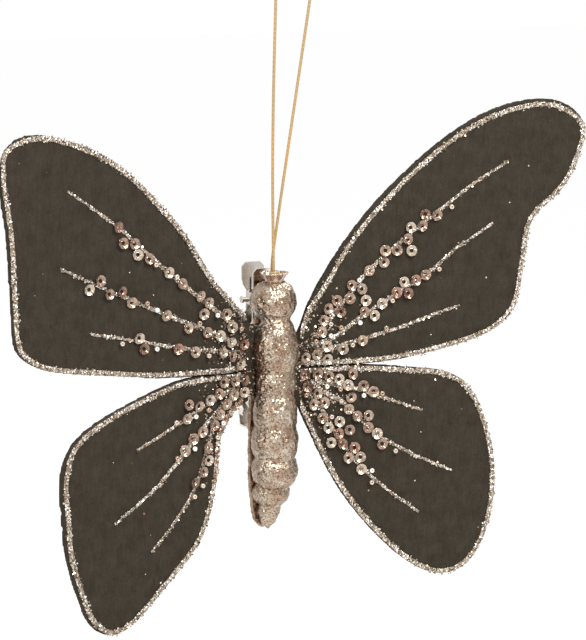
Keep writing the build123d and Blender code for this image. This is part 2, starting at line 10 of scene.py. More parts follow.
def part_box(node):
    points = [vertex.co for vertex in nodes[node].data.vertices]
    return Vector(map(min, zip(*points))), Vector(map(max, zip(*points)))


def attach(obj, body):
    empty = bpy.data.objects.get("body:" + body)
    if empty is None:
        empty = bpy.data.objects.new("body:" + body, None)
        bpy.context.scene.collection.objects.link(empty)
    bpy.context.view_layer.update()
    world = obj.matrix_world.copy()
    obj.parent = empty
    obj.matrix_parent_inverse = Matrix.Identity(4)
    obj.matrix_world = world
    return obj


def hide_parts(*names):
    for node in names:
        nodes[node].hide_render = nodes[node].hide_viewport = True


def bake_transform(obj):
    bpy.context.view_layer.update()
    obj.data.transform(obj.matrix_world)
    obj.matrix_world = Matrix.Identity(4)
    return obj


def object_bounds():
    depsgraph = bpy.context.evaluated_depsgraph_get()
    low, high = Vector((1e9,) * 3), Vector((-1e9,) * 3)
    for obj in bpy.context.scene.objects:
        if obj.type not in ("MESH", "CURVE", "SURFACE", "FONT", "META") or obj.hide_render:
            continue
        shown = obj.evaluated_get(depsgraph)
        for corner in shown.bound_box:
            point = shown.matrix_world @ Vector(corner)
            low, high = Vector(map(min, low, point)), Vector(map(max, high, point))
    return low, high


mm = 0.001
upright = Vector((0, 0, 1))
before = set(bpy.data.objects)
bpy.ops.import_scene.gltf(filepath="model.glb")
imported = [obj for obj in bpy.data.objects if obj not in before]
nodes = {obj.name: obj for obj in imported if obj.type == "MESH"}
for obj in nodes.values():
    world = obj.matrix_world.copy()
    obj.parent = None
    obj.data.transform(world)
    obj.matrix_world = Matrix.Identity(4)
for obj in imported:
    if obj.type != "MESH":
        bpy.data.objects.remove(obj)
cadLow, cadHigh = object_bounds()
wingNames = ["upper_left", "upper_right", "lower_left", "lower_right"]
# where the random draws start, plus the wing's number where all four have the piece
seeds = {"edge_piping": 11, "veins": 21, "dust": 31, "copper": 41, "stray": 51, "tab": 61}
print("frame loaded:", len(nodes), "nodes")


# camera and light

view = {
    "azimuth": -28,  # degrees right of straight ahead
    "elevation": 9,
    "roll": -0.6,
    "distance": 1.0,  # m
    "mmPerPixel": 0.31,
    "pictureSize": (586, 640),
    "headPixel": (274, 301),
    "headBelowOrigin": 9.2,  # mm
    "sensor": 36,  # mm
    "clip": (0.01, 20),  # m
}

lamps = {
    # degrees right of the camera, degrees up, distance and size in m, watts
    "keyLamp": (32, 46, 0.75, 0.34, 7.0),
    "fillLamp": (-55, 20, 0.9, 0.6, 4.0),
    "backLamp": (160, 35, 0.9, 0.5, 4.0),
    "lowLamp": (10, -35, 0.9, 0.6, 1.5),
}


def directionFrom(azimuthDegrees, elevationDegrees):
    a, e = math.radians(azimuthDegrees), math.radians(elevationDegrees)
    return Vector((math.sin(a) * math.cos(e), -math.cos(a) * math.cos(e), math.sin(e)))


def makeCamera():
    back = directionFrom(view["azimuth"], view["elevation"])
    a = math.radians(view["azimuth"])
    right = Vector((math.cos(a), math.sin(a), 0))
    up = back.cross(right)
    r = math.radians(view["roll"])
    rolledRight = right * math.cos(r) - up * math.sin(r)
    rolledUp = right * math.sin(r) + up * math.cos(r)
    wide, high = view["pictureSize"]
    perPixel = view["mmPerPixel"] * mm
    head = Vector((0, 0, -view["headBelowOrigin"] * mm))
    target = head + rolledRight * (wide / 2 - view["headPixel"][0]) * perPixel
    target -= rolledUp * (high / 2 - view["headPixel"][1]) * perPixel
    data = bpy.data.cameras.new("photoCamera")
    camera = bpy.data.objects.new("photoCamera", data)
    bpy.context.scene.collection.objects.link(camera)
    turn = Matrix((rolledRight, rolledUp, back)).transposed()
    camera.matrix_world = Matrix.Translation(target + back * view["distance"]) @ turn.to_4x4()
    data.sensor_width = view["sensor"]
    data.lens = view["sensor"] * view["distance"] / (high * perPixel)
    data.clip_start, data.clip_end = view["clip"]
    bpy.context.scene.camera = camera
    return target


def makeLamps(target):
    for name, (turn, rise, distance, size, watts) in lamps.items():
        data = bpy.data.lights.new(name, "AREA")
        data.size = size
        data.energy = watts
        lamp = bpy.data.objects.new(name, data)
        bpy.context.scene.collection.objects.link(lamp)
        away = directionFrom(view["azimuth"] + turn, rise)
        lamp.location = target + away * distance
        lamp.rotation_euler = (-away).to_track_quat("-Z", "Y").to_euler()


# small helpers for node materials


def newMaterial(name, sockets):
    material = bpy.data.materials.new(name)
    material.use_nodes = True
    tree = material.node_tree
    shader = tree.nodes["Principled BSDF"]
    for socket, value in sockets.items():
        shader.inputs[socket].default_value = value
    return material, tree, shader


def addNode(tree, kind, **settings):
    node = tree.nodes.new(kind)
    for key, value in settings.items():
        if key in node.inputs:
            node.inputs[key].default_value = value
        else:
            setattr(node, key, value)
    return node


def objectSpace(tree, stretch=(1, 1, 1)):
    place = tree.nodes.new("ShaderNodeTexCoord")
    mapping = tree.nodes.new("ShaderNodeMapping")
    mapping.inputs["Scale"].default_value = stretch
    tree.links.new(place.outputs["Object"], mapping.inputs["Vector"])
    return mapping.outputs["Vector"]


def noiseAt(tree, place, scale, detail, roughness):
    node = addNode(tree, "ShaderNodeTexNoise", Scale=scale, Detail=detail, Roughness=roughness)
    tree.links.new(place, node.inputs["Vector"])
    return node.outputs["Fac"]


def grainsAt(tree, place, scale, channel):
    # a grain pattern, and one channel of its random colour
    grains = addNode(tree, "ShaderNodeTexVoronoi", Scale=scale)
    tree.links.new(place, grains.inputs["Vector"])
    split = tree.nodes.new("ShaderNodeSeparateColor")
    tree.links.new(grains.outputs["Color"], split.inputs["Color"])
    return grains, split.outputs[channel]


def ramp(tree, factor, stops, blend="LINEAR"):
    node = tree.nodes.new("ShaderNodeValToRGB")
    node.color_ramp.interpolation = blend
    while len(node.color_ramp.elements) < len(stops):
        node.color_ramp.elements.new(0.5)
    for element, (position, colour) in zip(node.color_ramp.elements, stops):
        element.position = position
        element.color = (*colour, 1)
    tree.links.new(factor, node.inputs["Fac"])
    return node.outputs["Color"]


def bump(tree, height, strength, distance, normal=None):
    node = addNode(tree, "ShaderNodeBump", Strength=strength, Distance=distance)
    tree.links.new(height, node.inputs["Height"])
    if normal is not None:
        tree.links.new(normal, node.inputs["Normal"])
    return node.outputs["Normal"]


def colourMix(tree, share, first, second, mode):
    node = tree.nodes.new("ShaderNodeMix")
    node.data_type = "RGBA"
    node.blend_type = mode
    factor, one, other = [s for s in node.inputs if s.enabled]
    factor.default_value = share
    tree.links.new(first, one)
    tree.links.new(second, other)
    return [s for s in node.outputs if s.enabled][0]


def vectorMath(tree, operation, first, second=None):
    # second is another socket, a fixed vector or, to scale by, a number
    node = addNode(tree, "ShaderNodeVectorMath", operation=operation)
    tree.links.new(first, node.inputs[0])
    if isinstance(second, bpy.types.NodeSocket):
        tree.links.new(second, node.inputs[1])
    elif isinstance(second, tuple):
        node.inputs[1].default_value = second
    elif second is not None:
        node.inputs["Scale"].default_value = second
    return node.outputs["Vector"]


# finishes
# A noise is its scale per m, detail and roughness. A bump is its strength and height in m.
# Tones are the places of the stops of a colour ramp, with their colours.

finishes = {
    "champagne": (0.4, 0.315, 0.24),
    "silver": (0.52, 0.46, 0.385),
    "rose": (0.32, 0.215, 0.155),
    # bronze, the back plate's darkest tone, is painted shade: it stands in for the dark wings'
    # reflection on the body's left flank
    "bronze": (0.2, 0.125, 0.075),
}

velvetLook = {
    "tones": [(0.3, (0.024, 0.0195, 0.0135)), (0.75, (0.037, 0.0305, 0.022))],
    "patches": (240, 4, 0.7),
    "nap": (2600, 2, 0.7),
    "napShare": 0.4,
    "napBump": (0.5, 0.00015),
    "streaks": (1500, 2, 0.6),
    "streakStretch": (1, 1, 0.16),
    "streakShare": 0.3,
    "folds": (160, 2, 0.5),
    "foldBump": (0.15, 0.0008),
    "sockets": {
        "Roughness": 0.95,
        "Specular IOR Level": 0.06,
        "Sheen Weight": 0.03,
        "Sheen Roughness": 0.4,
        "Sheen Tint": (0.9, 0.8, 0.65, 1),
    },
}


def velvetMaterial():
    look = velvetLook
    material, tree, shader = newMaterial("darkVelvet", look["sockets"])
    place = objectSpace(tree)
    tone = ramp(tree, noiseAt(tree, place, *look["patches"]), look["tones"])
    nap = noiseAt(tree, place, *look["nap"])
    streaks = noiseAt(tree, objectSpace(tree, look["streakStretch"]), *look["streaks"])
    brushed = colourMix(tree, look["streakShare"], tone, streaks, "OVERLAY")
    colour = colourMix(tree, look["napShare"], brushed, nap, "OVERLAY")
    tree.links.new(colour, shader.inputs["Base Color"])
    pile = bump(tree, nap, *look["napBump"])
    folds = bump(tree, noiseAt(tree, place, *look["folds"]), *look["foldBump"], pile)
    tree.links.new(folds, shader.inputs["Normal"])
    return material


foilLook = {
    "grains": 2700,  # per m
    "speckle": [
        (0.0, (0.16, 0.12, 0.09)),
        (0.22, (0.5, 0.44, 0.38)),
        (0.5, (0.85, 0.82, 0.78)),
        (1.0, (1, 1, 1)),
    ],
    "speckleShare": 0.85,
    "grainTilt": 0.52,
    "middle": (0.5, 0.5, 0.5),
    "clouds": (260, 4, 0.65),
    "cloudStops": (0.34, 0.5, 0.66),
    "cloudBump": (0.6, 0.0006),
    "sockets": {"Metallic": 1.0, "Roughness": 0.28},
}


def foilMaterial(name, *tones):
    look = foilLook
    material, tree, shader = newMaterial(name, look["sockets"])
    place = objectSpace(tree)
    grains, shade = grainsAt(tree, place, look["grains"], "Red")
    clouds = noiseAt(tree, place, *look["clouds"])
    stops = [(stop, finishes[tone]) for stop, tone in zip(look["cloudStops"], tones)]
    speckle = ramp(tree, shade, look["speckle"])
    colour = colourMix(tree, look["speckleShare"], ramp(tree, clouds, stops), speckle, "MULTIPLY")
    tree.links.new(colour, shader.inputs["Base Color"])
    # each grain leans its own way
    lean = vectorMath(tree, "SUBTRACT", grains.outputs["Color"], look["middle"])
    lean = vectorMath(tree, "SCALE", lean, look["grainTilt"])
    crackle = bump(tree, clouds, *look["cloudBump"])
    normal = vectorMath(tree, "NORMALIZE", vectorMath(tree, "ADD", crackle, lean))
    tree.links.new(normal, shader.inputs["Normal"])
    return material


glitterBedLook = {
    "grains": 2200,  # per m
    "tones": [
        (0.0, (0.09, 0.05, 0.035)),
        (0.35, (0.2, 0.155, 0.11)),
        (0.7, finishes["champagne"]),
        (0.95, (0.8, 0.77, 0.72)),
    ],
    "grainBump": (0.8, 0.0003),
    "sockets": {"Metallic": 0.7, "Roughness": 0.35},
}


def glitterBedMaterial():
    look = glitterBedLook
    material, tree, shader = newMaterial("glitterBed", look["sockets"])
    grains, shade = grainsAt(tree, objectSpace(tree), look["grains"], "Green")
    tree.links.new(ramp(tree, shade, look["tones"]), shader.inputs["Base Color"])
    lumps = bump(tree, grains.outputs["Distance"], *look["grainBump"])
    tree.links.new(lumps, shader.inputs["Normal"])
    return material


# materials whose every separate piece takes one of the tones at random
flakeSockets = {"Metallic": 0.9, "Roughness": 0.22}
pieceLooks = {
    "glitterFlake": {
        "tones": [
            (0.0, (0.42, 0.36, 0.28)),
            (0.24, (0.2, 0.15, 0.1)),
            (0.42, (0.58, 0.54, 0.46)),
            (0.58, (0.31, 0.25, 0.18)),
            (0.74, (0.1, 0.075, 0.055)),
            (0.9, (0.84, 0.81, 0.75)),
        ],
        "sockets": flakeSockets,
    },
    "dustFlake": {
        "tones": [
            (0.0, (0.3, 0.22, 0.16)),
            (0.3, (0.13, 0.085, 0.06)),
            (0.5, (0.45, 0.38, 0.3)),
            (0.68, (0.24, 0.13, 0.085)),
            (0.86, (0.62, 0.57, 0.5)),
        ],
        "sockets": flakeSockets,
    },
    "copperFlake": {
        "tones": [
            (0.0, (0.5, 0.26, 0.16)),
            (0.35, (0.34, 0.15, 0.09)),
            (0.6, (0.66, 0.4, 0.28)),
            (0.85, (0.2, 0.1, 0.07)),
        ],
        "sockets": flakeSockets,
    },
    "seedBead": {
        "tones": [
            (0.0, (0.8, 0.75, 0.67)),
            (0.4, (0.58, 0.47, 0.38)),
            (0.7, (0.88, 0.85, 0.8)),
            (0.85, (0.4, 0.28, 0.2)),
        ],
        "sockets": {"Metallic": 0.6, "Roughness": 0.12},
    },
    "cupSequin": {
        "tones": [
            (0.0, (0.34, 0.245, 0.18)),
            (0.25, (0.27, 0.18, 0.13)),
            (0.5, (0.42, 0.34, 0.265)),
            (0.7, (0.31, 0.24, 0.18)),
            (0.84, (0.27, 0.15, 0.105)),
            (0.92, (0.19, 0.11, 0.075)),
        ],
        "scuffs": (1800, 2, 0.5),
        "scuffBump": (0.25, 0.0001),
        "sockets": {"Metallic": 0.75, "Roughness": 0.18, "Coat Weight": 0.3},
    },
}


def pieceMaterial(name):
    look = pieceLooks[name]
    material, tree, shader = newMaterial(name, look["sockets"])
    piece = tree.nodes.new("ShaderNodeNewGeometry").outputs["Random Per Island"]
    tree.links.new(ramp(tree, piece, look["tones"], "CONSTANT"), shader.inputs["Base Color"])
    if "scuffs" in look:
        scuffs = noiseAt(tree, objectSpace(tree), *look["scuffs"])
        tree.links.new(bump(tree, scuffs, *look["scuffBump"]), shader.inputs["Normal"])
    return material


metalLooks = {
    "nickelPlate": {"colour": (0.7, 0.65, 0.59), "roughness": 0.2, "streaks": 500, "drawn": 0.2},
    "softWire": {"colour": (0.4, 0.38, 0.35), "roughness": 0.4, "streaks": 900, "drawn": 1},
    "crownMetal": {"colour": (0.47, 0.34, 0.26), "roughness": 0.24, "streaks": 700, "drawn": 0.5},
}
metalWear = {
    "toneStops": (0.3, 0.7),
    "darker": 0.85,
    "roughStops": (0.2, 0.8),
    "roughest": 1.3,
    "smoothest": 0.8,
    "detail": (3, 0.6),
    "bump": (0.04, 0.0001),
}


def metalMaterial(name):
    # brushed metal, with streaks that are drawn out upwards
    look, wear = metalLooks[name], metalWear
    material, tree, shader = newMaterial(name, {"Metallic": 1.0})
    place = objectSpace(tree, (1, 1, look["drawn"]))
    streaks = noiseAt(tree, place, look["streaks"], *wear["detail"])
    darker = tuple(part * wear["darker"] for part in look["colour"])
    tone = ramp(tree, streaks, list(zip(wear["toneStops"], (darker, look["colour"]))))
    tree.links.new(tone, shader.inputs["Base Color"])
    tree.links.new(bump(tree, streaks, *wear["bump"]), shader.inputs["Normal"])
    ends = [(look["roughness"] * wear[end],) * 3 for end in ("roughest", "smoothest")]
    rough = ramp(tree, streaks, list(zip(wear["roughStops"], ends)))
    tree.links.new(rough, shader.inputs["Roughness"])
    return material


threadLook = {
    "tones": [(0.38, (0.39, 0.215, 0.07)), (0.6, (0.3, 0.22, 0.1))],
    "stretches": (38, 2, 0.5),
    "plies": {"Scale": 420, "Distortion": 0.6, "Detail": 1, "bands_direction": "DIAGONAL"},
    "plyShade": [(0.1, (0.86, 0.84, 0.8)), (0.8, (1, 1, 1))],
    "plyBump": (0.12, 0.0002),
    "sockets": {"Roughness": 0.35},
}


def threadMaterial():
    look = threadLook
    material, tree, shader = newMaterial("amberThread", look["sockets"])
    place = objectSpace(tree)
    plies = addNode(tree, "ShaderNodeTexWave", **look["plies"])
    tree.links.new(place, plies.inputs["Vector"])
    shade = ramp(tree, plies.outputs["Fac"], look["plyShade"])
    tone = ramp(tree, noiseAt(tree, place, *look["stretches"]), look["tones"])
    tree.links.new(colourMix(tree, 1.0, tone, shade, "MULTIPLY"), shader.inputs["Base Color"])
    tree.links.new(bump(tree, plies.outputs["Fac"], *look["plyBump"]), shader.inputs["Normal"])
    return material


mottledLooks = {
    "setGlue": {
        "noise": (300, 3, 0.5),
        "tones": [(0.3, (0.62, 0.58, 0.48)), (0.7, (0.8, 0.77, 0.68))],
        "bump": (0.3, 0.0006),
        "sockets": {
            "Roughness": 0.3,
            "Subsurface Weight": 0.3,
            "Subsurface Radius": (0.001, 0.0008, 0.0005),
        },
    },
    "stiffCard": {
        "noise": (900, 4, 0.7),
        "tones": [(0.3, (0.2, 0.16, 0.11)), (0.7, (0.33, 0.28, 0.2))],
        "bump": (0.2, 0.0002),
        "sockets": {"Roughness": 0.85},
    },
}


def mottledMaterial(name):
    look = mottledLooks[name]
    material, tree, shader = newMaterial(name, look["sockets"])
    mottle = noiseAt(tree, objectSpace(tree), *look["noise"])
    tree.links.new(ramp(tree, mottle, look["tones"]), shader.inputs["Base Color"])
    tree.links.new(bump(tree, mottle, *look["bump"]), shader.inputs["Normal"])
    return material


# small helpers for shapes


def share(value, start, width):
    # rises from 0 to 1 as value goes from start over width
    return min(1, max(0, (value - start) / width))


def putOn(material, nodeName):
    slots = nodes[nodeName].data.materials
    slots.clear()
    slots.append(material)


def newObject(name, mesh, material, smooth=False):
    thing = bpy.data.objects.new(name, mesh)
    bpy.context.scene.collection.objects.link(thing)
    mesh.materials.append(material)
    for face in mesh.polygons:
        face.use_smooth = smooth
    return thing


def objectFrom(shape, name, material, smooth=False):
    mesh = bpy.data.meshes.new(name)
    shape.to_mesh(mesh)
    shape.free()
    return newObject(name, mesh, material, smooth)


def mergedCopy(nodeName):
    # a node's mesh with its split corners merged
    shape = bmesh.new()
    shape.from_mesh(nodes[nodeName].data)
    bmesh.ops.remove_doubles(shape, verts=shape.verts, dist=0.002 * mm)
    return shape


def islandsOf(nodeName):
    # the corner points of each separate piece in a node
    shape = mergedCopy(nodeName)
    seen, groups = set(), []
    for start in shape.verts:
        if start.index in seen:
            continue
        stack, group = [start], []
        seen.add(start.index)
        while stack:
            corner = stack.pop()
            group.append(corner.co.copy())
            for edge in corner.link_edges:
                other = edge.other_vert(corner)
                if other.index not in seen:
                    seen.add(other.index)
                    stack.append(other)
        groups.append(group)
    shape.free()
    return groups


def runModifiers(thing):
    bpy.context.view_layer.update()
    graph = bpy.context.evaluated_depsgraph_get()
    mesh = bpy.data.meshes.new_from_object(thing.evaluated_get(graph))
    thing.modifiers.clear()
    thing.data = mesh


def remeshed(shape, name, voxel, material, rounds):
    # an even skin over a closed shape, softened at its edges
    thing = objectFrom(shape, name, material, True)
    skin = thing.modifiers.new("skin", "REMESH")
    skin.mode = "VOXEL"
    skin.voxel_size = voxel * mm
    skin.use_smooth_shade = True
    soften = thing.modifiers.new("soften", "SMOOTH")
    soften.factor = 0.5
    soften.iterations = rounds
    runModifiers(thing)
    return thing


def pushOut(thing, amount):
    # moves each corner along its own normal by what amount says for its place
    mesh = thing.data
    count = len(mesh.vertices)
    places = np.empty(count * 3)
    mesh.vertices.foreach_get("co", places)
    normals = np.array([v.normal for v in mesh.vertices]).reshape(-1, 3)
    places = places.reshape(-1, 3)
    steps = np.array([amount(Vector(p), Vector(n)) for p, n in zip(places, normals)])
    places += normals * steps[:, None]
    mesh.vertices.foreach_set("co", places.ravel())
    mesh.update()


# wings: the velvet over each one

velvetSkin = {
    "sweep": 8,  # degrees that the wings lean forward
    # agreement of a face's normal with the front: least on the front, most elsewhere
    "frontFacing": 0.99,
    "backFacing": -0.7,
    "sideFacing": 0.5,
    "depth": 1.8,  # mm, front to back
    "voxel": 0.55,  # mm
    "softening": 6,
    "wave": 0.1,  # mm, how far the cloth rises and falls
    "waveLength": 11.0,
    "waveSink": 0.3,  # share of the wave that lies under the solid's face
    "fullness": 0.18,  # mm, how far the pile stands out all round
    "meeting": 0.3,  # the same where the upper and lower wings meet
    "meetingReach": 1.5,  # mm above and below the join
    "cutFullness": -0.1,  # the same at the cut edge
    "cutWobble": 0.26,  # mm that the cut edge wanders in and out
    "cutLength": 5.0,
    "hemWidth": 2.1,  # mm of velvet turned over to the back
    "hemRise": 0.14,
    "hemGroove": 0.22,
    "hemGrooveWidth": 0.35,
    "rootEdge": 8.4,  # mm from the middle plane, where the root's edge lies
}

joinLevel = (
    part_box("upper_left_velvet_front")[0].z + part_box("lower_left_velvet_front")[1].z
) / 2


def sideOf(name):
    return -1 if name.endswith("left") else 1


def wingFront(name):
    # the direction that a wing's decorated face looks
    sweep = math.radians(velvetSkin["sweep"])
    return Vector((-sideOf(name) * math.sin(sweep), -math.cos(sweep), 0))


def acrossAndRise(front):
    # the level way along a wing's face, and the way up it
    across = upright.cross(front).normalized()
    return across, front.cross(across)


def wingOutline(name):
    # the front face's edge, as points in order, read from the frame
    shape = mergedCopy(f"{name}_velvet_front")
    front = wingFront(name)
    least = velvetSkin["frontFacing"]
    follow = {}
    for face in shape.faces:
        if face.normal.dot(front) < least:
            continue
        for loop in face.loops:
            neighbours = [f for f in loop.edge.link_faces if f is not face]
            if neighbours and neighbours[0].normal.dot(front) > least:
                continue
            follow[loop.vert.index] = (loop.link_loop_next.vert.index, loop.vert.co.copy())
    # the pocket's floor faces the other way, so only the front's edge is left
    start = next(iter(follow))
    here, points = start, []
    while here != start or not points:
        here, point = follow[here]
        points.append(point)
    shape.free()
    return points


def rootTop(name):
    # the level where a wing's root edge ends, away from the join
    reach = velvetSkin["rootEdge"] * mm
    levels = [p.z for p in wingOutline(name) if p.x * sideOf(name) < reach]
    return max(levels) if name.startswith("upper") else min(levels)


def finderOf(points):
    finder = kdtree.KDTree(len(points))
    for k, point in enumerate(points):
        finder.insert(point, k)
    finder.balance()
    return finder


def makeVelvetSkin(name, material):
    v = velvetSkin
    outline = wingOutline(name)
    front = wingFront(name)
    depth = v["depth"] * mm
    shape = bmesh.new()
    near = [shape.verts.new(p) for p in outline]
    far = [shape.verts.new(p - front * depth) for p in outline]
    shape.faces.new(near)
    shape.faces.new(far[::-1])
    for k in range(len(near)):
        after = (k + 1) % len(near)
        shape.faces.new((near[after], near[k], far[k], far[after]))
    bmesh.ops.recalc_face_normals(shape, faces=shape.faces)
    bmesh.ops.triangulate(shape, faces=[f for f in shape.faces if len(f.verts) > 4])
    skin = remeshed(shape, f"{name}_velvet", v["voxel"], material, v["softening"])
    wave, length = v["wave"] * mm, v["waveLength"] * mm
    backEdge = finderOf([corner - front * depth for corner in outline])

    def rise(place, normal):
        facing = normal.dot(front)
        ripple = wave * (noise.noise(place / length) - v["waveSink"])
        if facing < v["backFacing"]:
            inward = backEdge.find(place)[2] / mm - v["hemWidth"]
            groove = v["hemGroove"] * math.exp(-((inward / v["hemGrooveWidth"]) ** 2))
            hem = v["hemRise"] if inward < 0 else 0
            return (v["fullness"] + hem - groove) * mm + ripple
        towardsJoin = -normal.z if name.startswith("upper") else normal.z
        onJoin = abs(place.z - joinLevel) < v["meetingReach"] * mm
        if onJoin and towardsJoin > v["sideFacing"]:
            return v["meeting"] * mm + ripple
        if abs(facing) < v["sideFacing"]:
            wobble = noise.noise(place / (v["cutLength"] * mm))
            return (v["cutFullness"] + v["cutWobble"] * wobble) * mm + ripple
        return v["fullness"] * mm + ripple

    pushOut(skin, rise)
    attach(skin, f"{name}_wing")
    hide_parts(f"{name}_velvet_front", f"{name}_velvet_back")


# glitter

flakes = {
    "radius": (0.16, 0.36),  # mm, smallest and largest
    "perSquareMm": {"edge_piping": 4.2, "veins": 5.0},
    "spill": 0.35,  # mm, how far flakes stray past the line
    "lift": (-0.12, 0.12),  # mm in front of the solid's face
    "tilt": 38,  # degrees
    "facing": 0.6,  # least agreement of a face's normal with the front
    "gapLength": 1.1,  # mm, the size of the bare places
    "gapLevel": -0.12,
}

rootDust = {
    "reach": (9.5, 27.0),  # mm from the middle plane, where the dust starts and ends
    "lift": (0.2, 0.5),  # mm in front of the velvet's solid
    "perSquareMm": 5.5,
    "strayPerSquareMm": 0.006,
    "edge": 1.2,  # mm inside the wing's edge that stay bare
    "spread": 15,  # mm above and below the join, where the fan of dust thins
    "spreadStart": 0.6,
    "spreadFade": 0.1,
    "grainLength": 0.42,
    "least": 0.36,
    "fade": 0.4,
    "patchLength": 3.1,
    "patchShare": 0.16,
}

copperDust = {
    "perSquareMm": 7.0,
    "levels": (-64, -38),  # mm, between which the inner edge is copper
    "reach": (-24, -11),  # the same from left to right
}

glitterLines = {
    "voxel": 0.26,  # mm
    "softening": 2,
    "draw": {"edge_piping": 0.28, "veins": 0.0},  # mm that the glue draws in at the sides
    "lump": 0.32,
    "lumpLength": 1.5,
    "topFacing": 0.7,  # least agreement of the line's top with the front
    "topLump": 0.1,
    "topDraw": 0.06,
    "thin": (0.25, 0.4),  # how outward a thin stretch faces: start and width
    "thinDraw": 0.26,  # mm drawn in besides where the line is thin
    "sparseLength": 0.7,
    "sparseLevel": 0.02,
    "sparseThin": 0.5,  # how thin the line is where flakes are sparse
    "outward": 0.88,  # mm that the line lies nearer to the edge than its solid
    "outwardOnTop": {"upper_left": 2.0, "upper_right": 1.1},  # the same along a top edge
    "top": (0.1, 0.35),  # how upward a top edge faces: start and width
    "outwardOutside": 0.5,  # the same along the lower left wing's outer side
    "outside": (0.1, 0.4),
    "underTop": (-0.6, 0.3),
    "rootEnd": 10.6,  # mm from the middle plane where the line stops under the sequins
}


def addFlake(shape, dice, place, front):
    # one small hexagon that leans away from front at random
    across, rise = acrossAndRise(front)
    lean = math.radians(abs(dice.gauss(0, 1)) * flakes["tilt"])
    heading = dice.uniform(0, 2 * math.pi)
    sideways = across * math.cos(heading) + rise * math.sin(heading)
    normal = front * math.cos(lean) + sideways * math.sin(lean)
    one = normal.orthogonal().normalized()
    other = normal.cross(one)
    radius = dice.uniform(*flakes["radius"]) * mm
    twist = dice.uniform(0, math.pi)
    corners = []
    for k in range(6):
        turn = twist + k * math.pi / 3
        corner = place + (one * math.cos(turn) + other * math.sin(turn)) * radius
        corners.append(shape.verts.new(corner))
    return shape.faces.new(corners)


def trianglesFacing(nodeName, front):
    mesh = nodes[nodeName].data
    mesh.calc_loop_triangles()
    found, areas = [], []
    for triangle in mesh.loop_triangles:
        if triangle.normal.dot(front) >= flakes["facing"]:
            found.append([mesh.vertices[k].co.copy() for k in triangle.vertices])
            areas.append(triangle.area)
    return found, areas


def scatterFlakes(wing, kind, name, density, material, seed, keep, move=None, lift=None):
    # hexagons laid at random over a wing's node where keep says so, with bare places between
    front = wingFront(wing)
    across, rise = acrossAndRise(front)
    dice = random.Random(seed)
    triangles, areas = trianglesFacing(f"{wing}_{kind}", front)
    total = sum(areas) / mm**2
    shape = bmesh.new()
    for a, b, c in dice.choices(triangles, weights=areas, k=int(total * density)):
        u, v = dice.random(), dice.random()
        if u + v > 1:
            u, v = 1 - u, 1 - v
        place = a + (b - a) * u + (c - a) * v
        bare = noise.noise(place / (flakes["gapLength"] * mm)) < flakes["gapLevel"]
        if bare or not keep(place):
            continue
        if move:
            place = place + move(place)
        place = place + across * dice.gauss(0, 0.5) * flakes["spill"] * mm
        place = place + rise * dice.gauss(0, 0.5) * flakes["spill"] * mm
        place = place + front * dice.uniform(*(lift or flakes["lift"])) * mm
        addFlake(shape, dice, place, front)
    thing = objectFrom(shape, f"{wing}_{name}", material)
    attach(thing, f"{wing}_wing")


def makeRootDust(name, material, seed):
    # glitter strewn over the velvet among the sequins, thicker near the body
    d = rootDust
    near, far = d["reach"]
    edge = finderOf(wingOutline(name))

    def thick(place):
        out = abs(place.x) / mm
        if not near < out < far or edge.find(place)[2] < d["edge"] * mm:
            return False
        fan = abs(place.z - joinLevel) / (d["spread"] * mm)
        grain = 0.5 + 0.5 * noise.noise(place / (d["grainLength"] * mm))
        patch = noise.noise(place / (d["patchLength"] * mm))
        least = d["least"] + d["fade"] * (out - near) / (far - near) - d["patchShare"] * patch
        return grain > least + d["spreadFade"] * max(0, fan - d["spreadStart"])

    scatterFlakes(
        name, "velvet_front", "root_dust", d["perSquareMm"], material, seed, thick, lift=d["lift"]
    )


def makeStrayFlakes(name, material, seed):
    # the few flakes that lie all over a wing
    d = rootDust

    def pastRoot(place):
        return abs(place.x) > d["reach"][0] * mm

    density = d["strayPerSquareMm"]
    scatterFlakes(
        name, "velvet_front", "stray_flakes", density, material, seed, pastRoot, lift=d["lift"]
    )


def makeCopperDust(name, material, seed):
    # darker copper on the inner edge of the lower left wing
    d = copperDust

    def within(place):
        across = d["reach"][0] * mm < place.x < d["reach"][1] * mm
        return across and d["levels"][0] * mm < place.z < d["levels"][1] * mm

    move = lineMover(name, outwardWay(name))
    density = d["perSquareMm"]
    scatterFlakes(name, "edge_piping", "copper_flakes", density, material, seed, within, move)


def outwardWay(name):
    # says which way out of the wing its outline faces near a point
    outline = wingOutline(name)
    front = wingFront(name)
    ways = []
    for k in range(len(outline)):
        along = outline[(k + 1) % len(outline)] - outline[k - 1]
        ways.append(along.cross(front).normalized())
    finder = finderOf(outline)

    def wayAt(place):
        found = finder.find_n(place, 5)
        return sum((ways[k] for _, k, _ in found), Vector()).normalized()

    return wayAt


def lineMover(name, wayAt):
    # says how far a point of the edge line moves towards the wing's edge
    g = glitterLines

    def move(place):
        way = wayAt(place)
        onTop = share(way.z, *g["top"]) if name.startswith("upper") else 0
        reach = g["outward"] + (g["outwardOnTop"].get(name, 0) - g["outward"]) * onTop
        if name == "lower_left":
            outside = share(-way.x, *g["outside"]) * share(-way.z, *g["underTop"])
            reach += (g["outwardOutside"] - g["outward"]) * outside
        return way * reach * mm

    return move


def cutAtRoot(shape, name):
    # ends the edge line where the sequins cover it
    side = sideOf(name)
    bmesh.ops.bisect_plane(
        shape,
        geom=shape.verts[:] + shape.edges[:] + shape.faces[:],
        plane_co=(side * glitterLines["rootEnd"] * mm, 0, 0),
        plane_no=(side, 0, 0),
        clear_inner=True,
    )
    bmesh.ops.holes_fill(shape, edges=[edge for edge in shape.edges if edge.is_boundary])
    bmesh.ops.triangulate(shape, faces=shape.faces)


